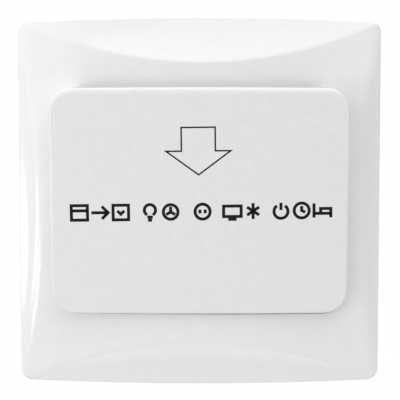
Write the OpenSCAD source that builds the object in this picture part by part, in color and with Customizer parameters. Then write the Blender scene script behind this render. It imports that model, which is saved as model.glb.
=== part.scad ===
// Hotel key card switch for a square wall box.
// A clip-on cushion plate carries a card pocket, a lever senses the card through the pocket's
// rear wall, and a relay board in the rear box switches the room's power.
// Millimetres. The wall is the plane y = 0, the front faces -y and z is up.

/* [Plate] */
// Width of the plate
plate_w = 86; // [85:0.5:89]
// Height of the plate at its corners
plate_h = 86; // [85:0.5:89]
// Rise of the bowed top and bottom edges
edge_bow = 1.1; // [0.8:0.1:1.6]
// Corner radius seen from the front
corner_r = 2.8; // [2:0.1:3.6]
// Height of the rim above the wall
rim_p = 4.6; // [4.5:0.1:5]
// Rounding of the rim's front edge
rim_edge = 0.8; // [0.4:0.1:1.2]
// Height of the crown above the wall
crown_p = 9; // [8.8:0.1:9.2]
// Depth of the lens-shaped top and bottom slopes
end_slope_w = 10.7; // [9.5:0.1:11.5]
// Depth of the lens-shaped side slopes
side_slope_w = 4.7; // [4:0.1:5.4]
// Wall thickness of the plate
plate_wall = 2; // [1.8:0.1:2.2]

/* [Card pocket] */
// Width of the cover
cover_w = 70; // [69:0.5:71]
// Height of the cover
cover_h = 53.5; // [53:0.1:54.4]
// Height of the cover's middle above the plate's centre
cover_y = 0.6; // [0.3:0.1:0.9]
// Corner radius of the cover
cover_r = 5.5; // [4.5:0.1:6.5]
// Lean of the cover, its top standing further off the wall
cover_tilt = 4.2; // [4:0.1:4.4]
// Height of the cover's face above the wall, level with the plate's centre
cover_p = 12; // [11.9:0.1:12.4]
// Wall thickness of the cover
cover_wall = 1.8; // [1.6:0.1:2]
// Rounding of the cover's front edge
cover_edge = 0.9; // [0.5:0.1:1.2]
// Width of the pocket for a 54 mm card
pocket_w = 57; // [56:0.5:58]
// Height of the pocket's rear wall above the wall
floor_p = 6; // [5.9:0.1:6.2]
// Height of the scoop above the cover's top edge
scoop_h = 5.5; // [5:0.5:6]
// Height of the scoop's floor above the wall, at the cover's top edge
mouth_p = 7.4; // [7.2:0.1:7.6]

/* [Lever] */
// Width of the lever's tongue
tongue_w = 9.6; // [8:0.2:10]
// Height of the lever's pin above the plate's centre
pivot_y = 4; // [3.6:0.1:4.4]
// Diameter of the lever's pin
pin_d = 1.5; // [1.2:0.1:1.6]

/* [Wall fixing] */
// Spacing of the two fixing slots
fixing_pitch = 60.3; // [60:0.1:61]
// Length of each fixing slot
fixing_slot = 7; // [6:0.1:7.4]
// Radius of each fixing slot's ends
fixing_r = 2.1; // [1.8:0.1:2.3]

/* [Rear box] */
// Width of the rear box
box_w = 46; // [45.6:0.1:46.4]
// Height of the rear box
box_h = 52; // [52:0.1:53]
// Depth of the rear box behind the wall plane
box_depth = 27; // [26.6:0.1:32]
// Wall thickness of the rear box
box_wall = 1.6; // [1.4:0.1:1.7]
// Spacing of the terminals
terminal_pitch = 8.2; // [8.2:0.1:8.6]
// Radius of the terminals' wire entries
wire_r = 2.1; // [1.8:0.1:2.1]

/* [Hidden] */
$fn = 64;
far = 200;
eps = 0.5;

half_w = plate_w / 2;
half_h = plate_h / 2;
rear_gap = 0.3;
bow_r = (half_w * half_w + edge_bow * edge_bow) / (2 * edge_bow);
bow_y = half_h + edge_bow - bow_r;
crown_rise = crown_p - rim_p;
crown_r = (half_w * half_w + half_h * half_h + crown_rise * crown_rise) / (2 * crown_rise);
function crown_at(x, y) = crown_p - crown_r + sqrt(crown_r * crown_r - x * x - y * y);
end_slope = (crown_at(0, half_h + edge_bow - end_slope_w) - rim_p) / end_slope_w;
side_slope = (crown_at(half_w - side_slope_w, 0) - rim_p) / side_slope_w;
slope_run = 30;
rim_steps = 5;
corner_y = bow_y + sqrt(pow(bow_r - corner_r, 2) - pow(half_w - corner_r, 2));

floor_wall = 1.8;
floor_rear = floor_p - floor_wall;
cover_gap = 0.15;
pad_margin = 2.2;
pocket_foot = 2.2;
mouth_flare = 0.5;
mouth_run = 3;
cover_depth = 9;
function cover_inner(y) = cover_p + y * tan(cover_tilt) - cover_wall / cos(cover_tilt);
scoop_base = 3;
scoop_y = cover_y + cover_h / 2 - scoop_base;
scoop_reach = scoop_base + scoop_h;
lip_over = 0.2;
lip_p = crown_at(0, scoop_y + scoop_reach) + lip_over;
scoop_end_x = pocket_w / 2 + 0.5 - scoop_reach;
lip_steps = 6;

peg_r = 1.5;
peg_fit = 0.05;
chamber_wall = 1.5;
peg_x = (pocket_w / 2 + chamber_wall + cover_w / 2 - cover_wall) / 2;
peg_y = 14;
peg_head_r = 2.3;
peg_head_t = 0.9;

pivot_p = 2.2;
pin_r = pin_d / 2;
pin_fit = 0.05;
press_fit = 0.01;
pin_out = 0.4;
barrel_r = 1.7;
barrel_w = 14;
ear_x = 8.2;
ear_t = 1.6;
ear_r = 2.2;
tip_y = -9;
tip_r = 0.8;
tip_gap = 0.3;
tip_p = cover_inner(tip_y) - tip_gap;
arm_front = 3.2;
arm_rear = 1.4;
arm_foot = -13.6;
arm_step = 1;
window_top = -2.6;
window_foot = -15.2;
window_gap = 0.8;
nub_r = 0.8;
nub_drop = 5;
nub_y = pivot_y - nub_drop;
nub_p = 1.35;
nub_gap = 0.1;
nub_w = 3;

frame_t = 3;
frame_base_t = 1.6;
frame_inset = 2.6;
frame_step = 2.2;
frame_r = 3;
frame_gap = 0.3;
flange_t = 1.2;
flange_run = 4;
flange_screw_x = 17;
flange_screw_out = 2.2;
flange_screw_y = box_h / 2 + flange_screw_out;
flange_screw_r = 1.1;
screw_fit = 0.02;
hole_fit = 0.3;
cross_w = 0.5;
cross_t = 0.5;
flange_head_r = 2;
flange_head_t = 0.9;

hook_x = 20;
hook_w = 7;
hook_y = 33.8;
hook_t = 1.4;
hook_top = 6;
barb_reach = 0.9;
barb_p = 1;
barb_run = 0.8;
ledge_p = 1.1;
hook_gap = 0.4;
rib_t = 1.2;
rib_gap = 2;
rib_clear = 0.5;
rib_p = frame_t + rib_clear;
rib_start_gap = 0.6;
rib_start = flange_screw_y + flange_head_r + rib_start_gap;
rib_end_gap = 4;
rib_reach = half_h - rib_end_gap;
notch_w = 8;
notch_t = 1.2;

box_rear = -box_depth;
box_r = 2;
step_p = -13;
bay_h = 14.5;
step_y = bay_h - box_h / 2;
vent_w = 1.4;
vent_run = 9;
vent_pitch = 4;
vent_count = 5;
vent_p = -19;
board_front = -7.2;
board_t = 1.6;
board_rear = board_front - board_t;
board_gap = 0.5;
post_r = 2.6;
post_edge = 5;
post_x = box_w / 2 - post_edge;
post_top_y = box_h / 2 - post_edge;
post_foot_y = post_edge - box_h / 2;
board_screw_r = 0.9;
board_screw_in = 3;
board_head_r = 1.9;
board_head_t = 1.1;
post_bore = 3.6;

moulded_r = 0.6;
lead_r = 0.35;
lead_fit = 0.07;
lead_out = 0.9;
leg_short = 0.2;

switch_w = 12.8;
switch_h = 5.8;
switch_t = 6.5;
switch_hole_x = 3.25;
switch_hole_p = 2.6;
switch_hole_r = 1;
switch_pitch = 10;
switch_top = board_front + switch_t;
plunger_r = 0.9;
plunger_fit = 0.05;
plunger_top = nub_p - nub_r - nub_gap;
plunger_len = 3.1;
plunger_well = 3.6;

// Parts stand in three rows between the box's step and its top: the relay and fuse on the step,
// the small semiconductors between the upper posts, and the capacitors in the row between.
part_gap = 0.6;
side_x = box_w / 2 - box_wall - board_gap - part_gap;
row_foot = step_y + box_wall + part_gap;
row_top = box_h / 2 - box_wall - board_gap - part_gap;
post_side_x = post_x - post_r - part_gap;

relay_w = 20.5;
relay_h = 10.2;
relay_t = 12.3;
relay_coil_x = 8.5;
relay_pin_x = 6.8;
relay_pin_y = 3.8;
relay_at = [relay_w / 2 - side_x, row_foot + relay_h / 2];
vent_nib_r = 1.1;
vent_nib_t = 0.4;
fuse_r = 4.2;
fuse_len = 8;
fuse_pitch = 5.1;
fuse_at = [side_x - fuse_r, row_foot + fuse_r];
bridge_r = 4.3;
bridge_len = 5.5;
bridge_flat = 0.5;
bridge_pin = 1.8;
bridge_at = [bridge_r - post_side_x, row_top - bridge_r];
timer_w = 9.6;
timer_h = 6.4;
timer_t = 3.4;
timer_row = 3.8;
chip_pitch = 2.54;
timer_at = [bridge_at[0] + bridge_r + part_gap + timer_w / 2, bridge_at[1]];
chip_notch_r = 0.8;
chip_notch_t = 0.4;
transistor_r = 2.4;
transistor_len = 4.8;
transistor_pitch = 1.3;
transistor_flat = transistor_r / 2;
transistor_at = [post_side_x - transistor_r, bridge_at[1]];
row_mid = (row_foot + relay_h + row_top - 2 * bridge_r) / 2;
film_w = 13;
film_h = 6;
film_t = 12;
film_pitch = 10;
film_at = [film_w / 2 - side_x, row_mid];
smoothing_r = 4;
smoothing_len = 11.5;
smoothing_pitch = 3.5;
smoothing_at = [side_x - smoothing_r, row_mid];
groove_r = 0.9;
groove_t = 0.4;
groove_p = 2;
score_w = 0.4;
varistor_r = 3.5;
varistor_t = 3.6;
varistor_pitch = 5;
varistor_lift = 1;
varistor_at = [(film_at[0] + film_w / 2 + smoothing_at[0] - smoothing_r) / 2, row_mid];
resistor_rise = 3;
bleed_at = [-post_x * 2 / 3, row_mid + resistor_rise];
base_at = [post_x * 2 / 3, row_mid + resistor_rise];
resistor_r = 1.2;
resistor_waist = 1;
cap_edge = 0.3;
cap_run = 1.5;
resistor_lift = 0.2;
resistor_len = 6.5;
resistor_span = 10;

terminal_w = terminal_pitch - 0.2;
window_fit = 0.4;
terminal_edge = 2.5;
terminal_gap = 1.5;
terminal_pin = 2.4;
terminal_foot = terminal_edge - box_h / 2;
terminal_top = step_y - terminal_gap;
terminal_rear = -24.5;
clamp_w = 5.6;
clamp_gap = 0.15;
clamp_inset = 2.65;
clamp_foot = terminal_foot + clamp_inset;
clamp_h = 5.7;
clamp_front = -14.4;
clamp_rear = -23.6;
wire_p = -17.4;
clamp_wire_r = 2.2;
clamp_screw_r = 1.45;
clamp_screw_fit = 0.05;
clamp_screw_in = 3.7;
clamp_head_r = 2.1;
clamp_head_t = 0.8;
slot_w = 0.6;
slot_t = 0.4;

// Turns a piece drawn lying on its back, x right and y up, into the upright object.
module upright() {
    rotate([90, 0, 0]) children();
}

module both_sides() {
    children();
    mirror([1, 0, 0]) children();
}

module four_corners() {
    both_sides() {
        children();
        mirror([0, 1, 0]) children();
    }
}

// A section drawn as y and height, run along x and centred.
module along_x(width) {
    rotate([90, 0, 90]) linear_extrude(width, center = true) children();
}

module round_rect(width, height, r) {
    square([width - 2 * r, height], center = true);
    square([width, height - 2 * r], center = true);
    for (sx = [-1, 1], sy = [-1, 1])
        translate([sx * (width / 2 - r), sy * (height / 2 - r)]) circle(r);
}

// Outline of a rim at distance reach: rounded from its upright wall into the slope.
function rim_line(reach, height, slope, edge) = concat(
    [for (i = [0:rim_steps])
        let (turn = i / rim_steps * (90 - atan(slope)))
        [reach - edge + edge * cos(turn),
            height + slope * edge - edge * sqrt(1 + slope * slope) + edge * sin(turn)]],
    [[reach - slope_run, height + slope * slope_run]]);

function mirrored(points) = concat(
    points, [for (i = [len(points) - 1:-1:0]) [-points[i][0], points[i][1]]]);

// Disc whose rim is one bowed edge with its slope.
module bowed_edge(inset, rear) {
    translate([0, bow_y, 0])
        rotate_extrude($fn = 720)
            polygon(concat(
                [[0, rear], [bow_r - inset, rear]],
                rim_line(bow_r - inset, rim_p - inset, end_slope, rim_edge),
                [[0, rim_p - inset + end_slope * slope_run]]));
}

module sloped_sides(inset, rear) {
    rotate([90, 0, 0])
        linear_extrude(far, center = true)
            polygon(mirrored(concat(
                [[half_w - inset, rear]],
                rim_line(half_w - inset, rim_p - inset, side_slope, rim_edge))));
}

// Cushion body: a shallow crown with four lens-shaped slopes that meet at the corners.
module cushion(inset, rear) {
    intersection() {
        bowed_edge(inset, rear);
        mirror([0, 1, 0]) bowed_edge(inset, rear);
        sloped_sides(inset, rear);
        translate([0, 0, crown_p - inset - crown_r]) sphere(crown_r, $fn = 240);
    }
}

module corner_rounding() {
    four_corners()
        translate([half_w - corner_r, corner_y, 0])
            difference() {
                translate([0, 0, -far / 2]) cube([2 * corner_r, 2 * corner_r, far]);
                cylinder(r = corner_r, h = far, center = true);
            }
}

module on_cover_face() {
    translate([0, 0, cover_p]) rotate([cover_tilt, 0, 0]) translate([0, cover_y, 0]) children();
}

module above(height) {
    translate([-far / 2, -far / 2, height]) cube([far, far, far]);
}

module recess() {
    intersection() {
        on_cover_face()
            translate([0, 0, -cover_depth])
                linear_extrude(2 * cover_depth)
                    round_rect(cover_w + 2 * cover_gap, cover_h + 2 * cover_gap, cover_r + cover_gap);
        above(floor_p);
    }
}

// Rolled lip that guides the card down into the mouth.
module lip_profile() {
    polygon(concat(
        [[0, far], [0, mouth_p]],
        [for (i = [0:lip_steps]) let (f = i / lip_steps)
            [scoop_base + scoop_h * f, mouth_p + (lip_p - mouth_p) * (1 - pow(1 - f, 2))]],
        [[scoop_reach, far]]));
}

module scoop() {
    translate([0, scoop_y, 0]) {
        along_x(2 * scoop_end_x) lip_profile();
        both_sides() translate([scoop_end_x, 0, 0]) rotate_extrude() lip_profile();
    }
}

module hook() {
    translate([hook_x, hook_y, 0]) {
        along_x(hook_w) polygon([
            [0, rear_gap],
            [hook_t, rear_gap],
            [hook_t + barb_reach, rear_gap + barb_run / 2],
            [hook_t + barb_reach, barb_p],
            [hook_t, barb_p],
            [hook_t, hook_top],
            [0, hook_top]]);
    }
}

// Two ribs that stiffen the plate on either side of a lower hook.
module ribs() {
    for (side = [-1, 1])
        translate([hook_x + side * (hook_w / 2 + rib_gap) - rib_t / 2, -rib_reach, rib_p])
            cube([rib_t, rib_reach - rib_start, far]);
}

// Notch in the lower rim for the screwdriver that lifts the plate off.
module pry_notch() {
    translate([-notch_w / 2, -half_h - edge_bow - eps, 0])
        cube([notch_w, plate_wall + 2 * eps, rear_gap + notch_t]);
}

module pivot_bar(r, length) {
    translate([0, pivot_y, pivot_p]) rotate([0, 90, 0]) cylinder(r = r, h = length, center = true);
}

module ears() {
    for (side = [-1, 1])
        translate([side * ear_x, 0, 0]) {
            pivot_bar(ear_r, ear_t);
            along_x(ear_t) translate([pivot_y - ear_r, pivot_p])
                square([2 * ear_r, floor_rear + eps - pivot_p]);
        }
}

module pegs(r) {
    for (sx = [-1, 1], sy = [-1, 1])
        let (y = cover_y + sy * peg_y)
            translate([sx * peg_x, y, floor_rear - eps])
                cylinder(r = r, h = cover_inner(y) + eps - floor_rear + eps);
}

module fascia() {
    color("#f4f4f2") upright() difference() {
        union() {
            difference() {
                cushion(0, rear_gap);
                cushion(plate_wall, -eps);
            }
            intersection() {
                cushion(0, rear_gap);
                union() {
                    translate([-cover_w / 2 - pad_margin, cover_y - cover_h / 2 - pad_margin, floor_rear])
                        cube([cover_w + 2 * pad_margin, cover_h + 2 * pad_margin + scoop_h, far]);
                    both_sides() ribs();
                }
            }
            four_corners() hook();
            ears();
        }
        corner_rounding();
        pry_notch();
        recess();
        scoop();
        translate([-tongue_w / 2 - window_gap, window_foot, 0])
            cube([tongue_w + 2 * window_gap, window_top - window_foot, floor_p + eps]);
        pegs(peg_r + peg_fit);
        pivot_bar(pin_r + press_fit, 2 * ear_x + ear_t + eps);
    }
}

// Front slab with a rounded edge, its face on the plane z = 0.
module soft_slab(width, height, r, depth, edge) {
    translate([0, 0, -depth]) linear_extrude(depth - edge) round_rect(width, height, r);
    translate([0, 0, -edge - eps])
        linear_extrude(edge + eps) round_rect(width - 2 * edge, height - 2 * edge, r - edge);
    for (side = [-1, 1]) {
        translate([0, side * (height / 2 - edge), -edge])
            rotate([0, 90, 0]) cylinder(r = edge, h = width - 2 * r, center = true);
        translate([side * (width / 2 - edge), 0, -edge])
            rotate([90, 0, 0]) cylinder(r = edge, h = height - 2 * r, center = true);
    }
    for (sx = [-1, 1], sy = [-1, 1])
        translate([sx * (width / 2 - r), sy * (height / 2 - r), -edge])
            rotate_extrude() translate([r - edge, 0]) circle(edge);
}

module card_cover() {
    chamber_x = pocket_w / 2 + chamber_wall;
    chamber_h = cover_h - 2 * cover_r;
    color("#e9e9e7") upright() {
        difference() {
            intersection() {
                on_cover_face() soft_slab(cover_w, cover_h, cover_r, cover_depth, cover_edge);
                above(floor_p);
            }
            on_cover_face() {
                translate([-pocket_w / 2, pocket_foot - cover_h / 2, -far - cover_wall])
                    cube([pocket_w, cover_h, far]);
                translate([0, cover_h / 2, -cover_wall]) along_x(pocket_w)
                    polygon([
                        [mouth_run, 2 * mouth_flare],
                        [mouth_run, -eps],
                        [-mouth_run, -eps],
                        [-mouth_run, 0]]);
                both_sides()
                    translate([chamber_x, -chamber_h / 2, -far - cover_wall])
                        cube([cover_w / 2 - cover_wall - chamber_x, chamber_h, far]);
            }
        }
        pegs(peg_r);
        for (sx = [-1, 1], sy = [-1, 1])
            translate([sx * peg_x, cover_y + sy * peg_y, floor_rear - peg_head_t])
                cylinder(r = peg_head_r, h = peg_head_t);
    }
}

module fixing_slots() {
    for (side = [-1, 1])
        translate([side * fixing_pitch / 2, 0, -eps])
            linear_extrude(frame_t + 2 * eps) {
                square([fixing_slot - 2 * fixing_r, 2 * fixing_r], center = true);
                for (end = [-1, 1])
                    translate([end * (fixing_slot / 2 - fixing_r), 0]) circle(fixing_r);
            }
}

module flange_screw_holes(r, from, to) {
    for (sx = [-1, 1], sy = [-1, 1])
        translate([sx * flange_screw_x, sy * flange_screw_y, from]) cylinder(r = r, h = to - from);
}

module mounting_frame() {
    base_w = plate_w - 2 * frame_inset;
    base_h = plate_h - 2 * frame_inset;
    seat_w = box_w + 2 * frame_gap;
    seat_h = box_h + 2 * frame_gap;
    color("#d9dadb") upright() difference() {
        union() {
            linear_extrude(frame_base_t) round_rect(base_w, base_h, frame_r);
            linear_extrude(frame_t) round_rect(base_w - 2 * frame_step, base_h - 2 * frame_step, frame_r);
        }
        translate([0, 0, -eps]) linear_extrude(far) round_rect(seat_w, seat_h, box_r);
        translate([0, 0, frame_t - flange_t])
            linear_extrude(far) round_rect(seat_w, seat_h + 2 * flange_run, box_r);
        fixing_slots();
        flange_screw_holes(flange_screw_r + screw_fit, -eps, frame_t);
        four_corners() translate([hook_x - hook_w / 2 - hook_gap, hook_y - hook_gap, -eps]) {
            cube([hook_w + 2 * hook_gap, hook_t + 2 * hook_gap, far]);
            cube([hook_w + 2 * hook_gap, hook_t + 2 * hook_gap + barb_reach, ledge_p + eps]);
        }
    }
}

module board_posts(r, from_top, from_foot, to) {
    for (side = [-1, 1]) {
        translate([side * post_x, post_top_y, from_top]) cylinder(r = r, h = to - from_top);
        translate([side * post_x, post_foot_y, from_foot]) cylinder(r = r, h = to - from_foot);
    }
}

// Row of slots through the top wall of the rear box, over the relay.
module vents() {
    for (i = [0:vent_count - 1])
        translate([(i - (vent_count - 1) / 2) * vent_pitch, box_h / 2, vent_p])
            cube([vent_w, 4 * box_wall, vent_run], center = true);
}

module rear_housing() {
    inner_w = box_w - 2 * box_wall;
    inner_h = box_h - 2 * box_wall;
    window_w = 3 * terminal_pitch + 2 * window_fit;
    color("#3a3d40") upright() difference() {
        union() {
            difference() {
                union() {
                    translate([0, 0, box_rear])
                        linear_extrude(box_depth + frame_t) round_rect(box_w, box_h, box_r);
                    translate([0, 0, frame_t - flange_t])
                        linear_extrude(flange_t) round_rect(box_w, box_h + 2 * flange_run, box_r);
                }
                translate([0, 0, step_p + box_wall])
                    linear_extrude(far) round_rect(inner_w, inner_h, box_r - box_wall / 2);
                translate([-inner_w / 2, step_y + box_wall, box_rear + box_wall])
                    cube([inner_w, inner_h / 2 - step_y - box_wall, step_p - box_rear + eps]);
                translate([-far / 2, step_y - far, step_p - far]) cube([far, far, far]);
            }
            board_posts(post_r, box_rear + eps, step_p + eps, board_rear);
        }
        board_posts(board_screw_r + screw_fit, board_rear - post_bore, board_rear - post_bore, board_rear + eps);
        translate([-window_w / 2, terminal_foot - window_fit, step_p - eps])
            cube([window_w, terminal_top - terminal_foot + 2 * window_fit, box_wall + 2 * eps]);
        flange_screw_holes(flange_screw_r + hole_fit, frame_t - flange_t - eps, frame_t + eps);
        vents();
    }
}

module driver_cross(span) {
    for (turn = [0, 90]) rotate(turn) cube([span, cross_w, 2 * cross_t], center = true);
}

module flange_screws() {
    color("#b9bcc0") upright() difference() {
        union() {
            flange_screw_holes(flange_screw_r, rear_gap, frame_t + eps);
            flange_screw_holes(flange_head_r, frame_t, frame_t + flange_head_t);
        }
        for (sx = [-1, 1], sy = [-1, 1])
            translate([sx * flange_screw_x, sy * flange_screw_y, frame_t + flange_head_t])
                driver_cross(1.2 * flange_head_r);
    }
}

// Row of leads through the board, drawn with radius r for the leads or their holes.
module leads(at, spots, r, from) {
    for (spot = spots)
        translate([at[0] + spot[0], at[1] + spot[1], from])
            cylinder(r = r, h = board_front + lead_out - from, $fn = 24);
}

function pair(span) = [[-span / 2, 0], [span / 2, 0]];
function four(a, b) = [[-a, -b], [-a, b], [a, -b], [a, b]];

switch_leads = concat(pair(switch_pitch), [[0, -switch_pitch / 5]]);
relay_leads = concat([[-relay_coil_x, 0]], four(relay_pin_x, relay_pin_y));
film_leads = pair(film_pitch);
smoothing_leads = pair(smoothing_pitch);
varistor_leads = [[0, -varistor_pitch / 2], [0, varistor_pitch / 2]];
fuse_leads = pair(fuse_pitch);
bridge_leads = four(bridge_pin, bridge_pin);
timer_leads = concat(four(1.5 * chip_pitch, timer_row), four(chip_pitch / 2, timer_row));
transistor_leads = concat(pair(2 * transistor_pitch), [[0, transistor_pitch / 4]]);
resistor_leads = pair(resistor_span);
terminal_leads = [[0, -terminal_pin], [0, terminal_pin]];
terminal_mid = (terminal_foot + terminal_top) / 2;
terminal_lead_r = 0.5;

module all_leads(extra) {
    r = lead_r + extra;
    leads([0, nub_y], switch_leads, r, board_rear - eps);
    leads(relay_at, relay_leads, r, board_rear - eps);
    leads(film_at, film_leads, r, board_rear - eps);
    leads(smoothing_at, smoothing_leads, r, board_rear - eps);
    leads(varistor_at, varistor_leads, r, board_rear - eps);
    leads(fuse_at, fuse_leads, r, board_rear - eps);
    leads(bridge_at, bridge_leads, r, board_rear - eps);
    leads(timer_at, timer_leads, r, board_rear - eps);
    leads(transistor_at, transistor_leads, r, board_rear - eps);
    leads(bleed_at, resistor_leads, r, board_rear - eps);
    leads(base_at, resistor_leads, r, board_rear - eps);
    for (i = [-1:1])
        leads([i * terminal_pitch, terminal_mid], terminal_leads, terminal_lead_r + extra, board_rear - eps);
}

module circuit_board() {
    board_w = box_w - 2 * box_wall - 2 * board_gap;
    board_h = box_h - 2 * box_wall - 2 * board_gap;
    color("#2f6b45") upright() difference() {
        translate([-board_w / 2, -board_h / 2, board_rear]) cube([board_w, board_h, board_t]);
        all_leads(lead_fit);
        board_posts(board_screw_r + hole_fit, board_rear - eps, board_rear - eps, board_front + eps);
    }
}

module board_screws() {
    color("#b9bcc0") upright() difference() {
        union() {
            board_posts(board_screw_r, board_rear - board_screw_in, board_rear - board_screw_in, board_front + eps);
            board_posts(board_head_r, board_front, board_front, board_front + board_head_t);
        }
        for (side = [-1, 1], y = [post_top_y, post_foot_y])
            translate([side * post_x, y, board_front + board_head_t])
                driver_cross(1.2 * board_head_r);
    }
}

module card_lever() {
    color("#dcdcd8") upright() difference() {
        union() {
            pivot_bar(barrel_r, barrel_w);
            along_x(tongue_w) {
                polygon([
                    [pivot_y, arm_rear],
                    [pivot_y, arm_front],
                    [window_top - arm_step, arm_front],
                    [tip_y + tip_r, tip_p - tip_r / 2],
                    [tip_y - tip_r, tip_p - tip_r / 2],
                    [arm_foot + arm_step, floor_p],
                    [arm_foot, arm_front],
                    [arm_foot, arm_rear]]);
                translate([tip_y, tip_p - tip_r]) circle(tip_r);
            }
            translate([0, nub_y, nub_p]) rotate([0, 90, 0]) cylinder(r = nub_r, h = nub_w, center = true);
        }
        pivot_bar(pin_r + pin_fit, far);
    }
}

module lever_pin() {
    color("#c9ccd0") upright() pivot_bar(pin_r, 2 * ear_x + ear_t + pin_out);
}

module switch_plunger() {
    color("#c8402f") upright()
        translate([0, nub_y, plunger_top - plunger_len]) cylinder(r = plunger_r, h = plunger_len);
}

module microswitch_case() {
    color("#26282b") upright() difference() {
        union() {
            translate([-switch_w / 2, nub_y - switch_h / 2, board_front]) cube([switch_w, switch_h, switch_t]);
            translate([0, nub_y, 0]) for (spot = switch_leads)
                translate([spot[0], spot[1], board_rear + leg_short])
                    cylinder(r = lead_r, h = board_t - leg_short + eps, $fn = 24);
        }
        translate([0, nub_y, switch_top - plunger_well])
            cylinder(r = plunger_r + plunger_fit, h = plunger_well + eps);
        for (side = [-1, 1])
            translate([side * switch_hole_x, nub_y, board_front + switch_hole_p])
                rotate([90, 0, 0]) cylinder(r = switch_hole_r, h = switch_h + 2 * eps, center = true);
    }
}

// Boxed part standing on the rear of the board, with its leads.
module boxed(at, size, spots) {
    translate([at[0], at[1], board_rear - size[2]])
        linear_extrude(size[2]) round_rect(size[0], size[1], moulded_r);
    leads(at, spots, lead_r, board_rear - eps);
}

// Round part standing on the rear of the board, with its leads.
module round_can(at, r, length, spots) {
    translate([at[0], at[1], board_rear - length]) cylinder(r = r, h = length);
    leads(at, spots, lead_r, board_rear - eps);
}

module relay() {
    color("#2b5fa8") upright() {
        boxed(relay_at, [relay_w, relay_h, relay_t], relay_leads);
        translate([relay_at[0] + relay_w / 2 - 2 * vent_nib_r, relay_at[1], board_rear - relay_t - vent_nib_t])
            cylinder(r = vent_nib_r, h = vent_nib_t + eps);
    }
}

module film_capacitor() {
    color("#d9b23a") upright() boxed(film_at, [film_w, film_h, film_t], film_leads);
}

module smoothing_capacitor() {
    color("#23272e") upright() difference() {
        round_can(smoothing_at, smoothing_r, smoothing_len, smoothing_leads);
        translate([smoothing_at[0], smoothing_at[1], board_rear - groove_p])
            rotate_extrude() translate([smoothing_r + groove_r - groove_t, 0]) circle(groove_r);
        translate([smoothing_at[0], smoothing_at[1], board_rear - smoothing_len])
            for (turn = [0, 90]) rotate(turn) cube([1.2 * smoothing_r, score_w, score_w], center = true);
    }
}

module varistor() {
    color("#2d6fae") upright() {
        translate([varistor_at[0], varistor_at[1], board_rear - varistor_r - varistor_lift])
            rotate([0, 90, 0]) cylinder(r = varistor_r, h = varistor_t, center = true);
        leads(varistor_at, varistor_leads, lead_r, board_rear - varistor_r);
    }
}

module fuse() {
    color("#7a3b2a") upright() round_can(fuse_at, fuse_r, fuse_len, fuse_leads);
}

module bridge_rectifier() {
    color("#1f2124") upright() difference() {
        round_can(bridge_at, bridge_r, bridge_len, bridge_leads);
        translate([bridge_at[0] - 2 * bridge_r, bridge_at[1] - bridge_r, board_rear - bridge_len - eps])
            cube([bridge_r + bridge_flat, 2 * bridge_r, bridge_len + eps]);
    }
}

module timer_chip() {
    shoulder = board_rear - timer_t / 2;
    color("#1f2124") upright() {
        difference() {
            boxed(timer_at, [timer_w, timer_h, timer_t], []);
            translate([timer_at[0] - timer_w / 2, timer_at[1], board_rear - timer_t - eps])
                cylinder(r = chip_notch_r, h = chip_notch_t + eps);
        }
        leads(timer_at, timer_leads, lead_r, shoulder);
        for (spot = timer_leads)
            translate([timer_at[0] + spot[0], timer_at[1] + sign(spot[1]) * timer_h / 2, shoulder])
                cube([2 * lead_r, 2 * timer_row - timer_h, 2 * lead_r], center = true);
    }
}

module transistor() {
    color("#1f2124") upright() {
        translate([transistor_at[0], transistor_at[1], board_rear - transistor_len])
            linear_extrude(transistor_len) difference() {
                circle(transistor_r);
                translate([-transistor_r, -2 * transistor_r - transistor_flat])
                    square([2 * transistor_r, 2 * transistor_r]);
            }
        leads(transistor_at, transistor_leads, lead_r, board_rear - eps);
    }
}

// Body with the swollen end caps of a dipped resistor, drawn as radius and place along its axis.
module resistor_body() {
    half = resistor_len / 2;
    rotate_extrude() polygon([
        [0, -half],
        [resistor_r - cap_edge, -half],
        [resistor_r, cap_edge - half],
        [resistor_r, cap_run - half],
        [resistor_waist, cap_run + cap_edge - half],
        [resistor_waist, half - cap_run - cap_edge],
        [resistor_r, half - cap_run],
        [resistor_r, half - cap_edge],
        [resistor_r - cap_edge, half],
        [0, half]]);
}

module resistor(at) {
    rise = board_front + resistor_r + resistor_lift;
    leg_foot = board_rear + leg_short;
    translate([at[0], at[1], rise]) rotate([0, 90, 0]) {
        resistor_body();
        cylinder(r = lead_r, h = resistor_span, center = true, $fn = 24);
    }
    for (side = [-1, 1])
        translate([at[0] + side * resistor_span / 2, at[1], 0]) {
            translate([0, 0, leg_foot]) cylinder(r = lead_r, h = rise - leg_foot, $fn = 24);
            translate([0, 0, rise]) sphere(lead_r, $fn = 24);
        }
}

module bleed_resistor() {
    color("#c9a878") upright() resistor(bleed_at);
}

module base_resistor() {
    color("#c9a878") upright() resistor(base_at);
}

module terminal_block(slot) {
    x = slot * terminal_pitch;
    color("#6f7477") upright() {
        difference() {
            translate([x - terminal_w / 2, terminal_foot, terminal_rear])
                cube([terminal_w, terminal_top - terminal_foot, board_rear - terminal_rear]);
            translate([x - clamp_w / 2 - clamp_gap, clamp_foot - clamp_gap, terminal_rear - eps])
                cube([clamp_w + 2 * clamp_gap, clamp_h + 2 * clamp_gap, clamp_front - terminal_rear + eps]);
            translate([x, clamp_foot, wire_p]) rotate([90, 0, 0]) cylinder(r = wire_r, h = far);
        }
        leads([x, terminal_mid], terminal_leads, terminal_lead_r, board_rear - eps);
    }
}

module terminal_block_live() {
    terminal_block(-1);
}

module terminal_block_neutral() {
    terminal_block(0);
}

module terminal_block_load() {
    terminal_block(1);
}

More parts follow.
